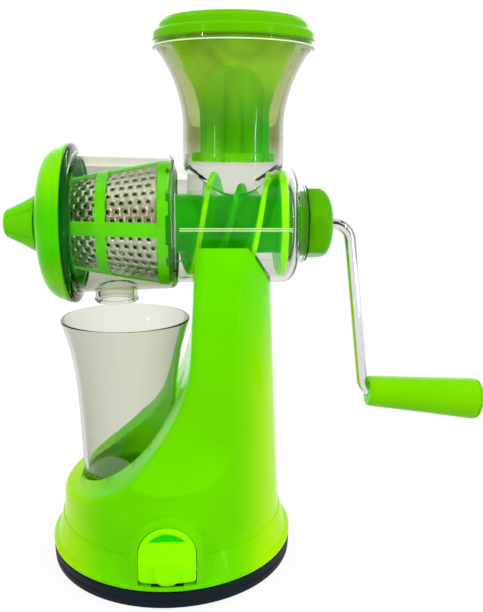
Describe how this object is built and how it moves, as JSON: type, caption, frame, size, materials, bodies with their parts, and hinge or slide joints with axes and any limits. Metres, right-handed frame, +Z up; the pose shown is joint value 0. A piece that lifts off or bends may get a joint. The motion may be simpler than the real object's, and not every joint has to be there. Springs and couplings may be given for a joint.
{
  "type": "hand cranked juicer",
  "caption": "Hand cranked auger juicer: suction base stand, clear feed barrel with hopper and pusher, strainer chamber with spout and cap, bent crank with grip, and a tumbler.",
  "frame": {"origin": "centre of the rubber foot's underside, on the table", "axes": "+X along the barrel towards the crank, +Z up, -Y towards the lever"},
  "size_m": [0.2928, 0.1513, 0.321],
  "materials": {
    "stand_green": "glossy moulded lime green",
    "lever_green": "glossy moulded lime green",
    "cap_green": "glossy moulded lime green",
    "nozzle_green": "glossy moulded lime green",
    "lid_green": "glossy moulded green",
    "stem_green": "glossy moulded green",
    "frame_green": "glossy moulded green",
    "auger_green": "glossy moulded dark green",
    "hub_green": "moulded dark green",
    "nut_green": "glossy moulded green",
    "grip_green": "glossy moulded green",
    "base_black": "moulded black",
    "washer_nylon": "white nylon",
    "pad_rubber": "matt dark rubber",
    "seal_silicone": "translucent pale silicone",
    "barrel_clear": "clear moulded plastic, faintly smoky",
    "chamber_clear": "clear moulded plastic, faintly smoky",
    "tumbler_clear": "clear moulded plastic tumbler",
    "mesh_steel": "perforated stainless sheet",
    "screw_steel": "zinc plated",
    "stud_steel": "zinc plated",
    "bar_steel": "pressed steel",
    "nut_steel": "zinc plated",
    "pin_steel": "ground steel",
    "clip_steel": "spring steel",
    "rod_chrome": "polished bright steel rod"
  },
  "bodies": {
    "stand": {"stand_body": "stand_green", "base_plate": "base_black", "base_screws": "screw_steel", "suction_pad": "pad_rubber", "lever_pin": "pin_steel", "feed_barrel": "barrel_clear", "barrel_screws": "screw_steel", "chamber_seal": "seal_silicone", "strainer_mesh": "mesh_steel", "strainer_frame": "frame_green"},
    "vacuum_lift": {"vacuum_stud": "stud_steel", "lift_bar": "bar_steel", "stud_nut": "nut_steel"},
    "lever": {"vacuum_lever": "lever_green"},
    "chamber": {"juice_chamber": "chamber_clear"},
    "cap_seal": {"cap_gasket": "seal_silicone"},
    "cap": {"front_cap": "cap_green"},
    "nozzle_seal": {"nozzle_ring": "seal_silicone"},
    "nozzle": {"pulp_nozzle": "nozzle_green"},
    "auger": {"auger": "auger_green"},
    "crank_carrier": {"nut_washer": "washer_nylon"},
    "lock_nut": {"lock_nut": "nut_green"},
    "crank": {"drive_hub": "hub_green", "hub_pin": "pin_steel", "crank_rod": "rod_chrome", "grip_clip": "clip_steel"},
    "grip": {"crank_grip": "grip_green", "grip_plug": "grip_green"},
    "pusher": {"pusher_cap": "lid_green", "pusher_stem": "stem_green"},
    "tumbler": {"tumbler": "tumbler_clear"}
  },
  "joints": [
    {"name": "lever_hinge", "type": "hinge", "parent": "stand", "child": "lever", "pos_m": [-0.001, -0.0695, 0.0225], "axis": [1, 0, 0], "range_deg": [0, 80]},
    {"name": "vacuum_slide", "type": "slide", "parent": "stand", "child": "vacuum_lift", "axis": [0, 0, 1], "range_m": [0, 0.003], "deforming": ["suction_pad"]},
    {"name": "chamber_twist", "type": "hinge", "parent": "stand", "child": "chamber", "pos_m": [0, 0, 0.207], "axis": [-1, 0, 0], "range_deg": [0, 28]},
    {"name": "cap_advance", "type": "slide", "parent": "chamber", "child": "cap_seal", "axis": [-1, 0, 0], "range_m": [0, 0.008]},
    {"name": "cap_turn", "type": "hinge", "parent": "cap_seal", "child": "cap", "pos_m": [0, 0, 0.207], "axis": [1, 0, 0], "range_deg": [0, 720]},
    {"name": "nozzle_advance", "type": "slide", "parent": "cap", "child": "nozzle_seal", "axis": [-1, 0, 0], "range_m": [0, 0.01]},
    {"name": "nozzle_turn", "type": "hinge", "parent": "nozzle_seal", "child": "nozzle", "pos_m": [0, 0, 0.207], "axis": [1, 0, 0], "range_deg": [0, 1800]},
    {"name": "auger_spin", "type": "hinge", "parent": "stand", "child": "auger", "pos_m": [0, 0, 0.207], "axis": [1, 0, 0], "continuous": true},
    {"name": "nut_advance", "type": "slide", "parent": "stand", "child": "crank_carrier", "axis": [1, 0, 0], "range_m": [0, 0.005]},
    {"name": "nut_turn", "type": "hinge", "parent": "crank_carrier", "child": "lock_nut", "pos_m": [0, 0, 0.207], "axis": [-1, 0, 0], "range_deg": [0, 900]},
    {"name": "crank_spin", "type": "hinge", "parent": "crank_carrier", "child": "crank", "pos_m": [0, 0, 0.207], "axis": [1, 0, 0], "continuous": true},
    {"name": "grip_spin", "type": "hinge", "parent": "crank", "child": "grip", "pos_m": [0.12399, 0, 0.10094], "axis": [0.9959, 0, -0.0906], "continuous": true},
    {"name": "pusher_lift", "type": "slide", "parent": "stand", "child": "pusher", "axis": [0, 0, 1], "range_m": [0, 0.066]},
    {"name": "tumbler_lift", "type": "slide", "parent": "stand", "child": "tumbler", "axis": [0, 0, 1], "range_m": [0, 0.009]}
  ],
  "couplings": [
    {"joint": "lever_hinge", "follows": "vacuum_slide", "rad_per_m": 465.42},
    {"joint": "cap_advance", "follows": "cap_turn", "m_per_rad": 0.00063662},
    {"joint": "nozzle_advance", "follows": "nozzle_turn", "m_per_rad": 0.00031831},
    {"joint": "nut_turn", "follows": "nut_advance", "rad_per_m": 3141.6},
    {"joint": "auger_spin", "follows": "crank_spin", "ratio": 1}
  ]
}
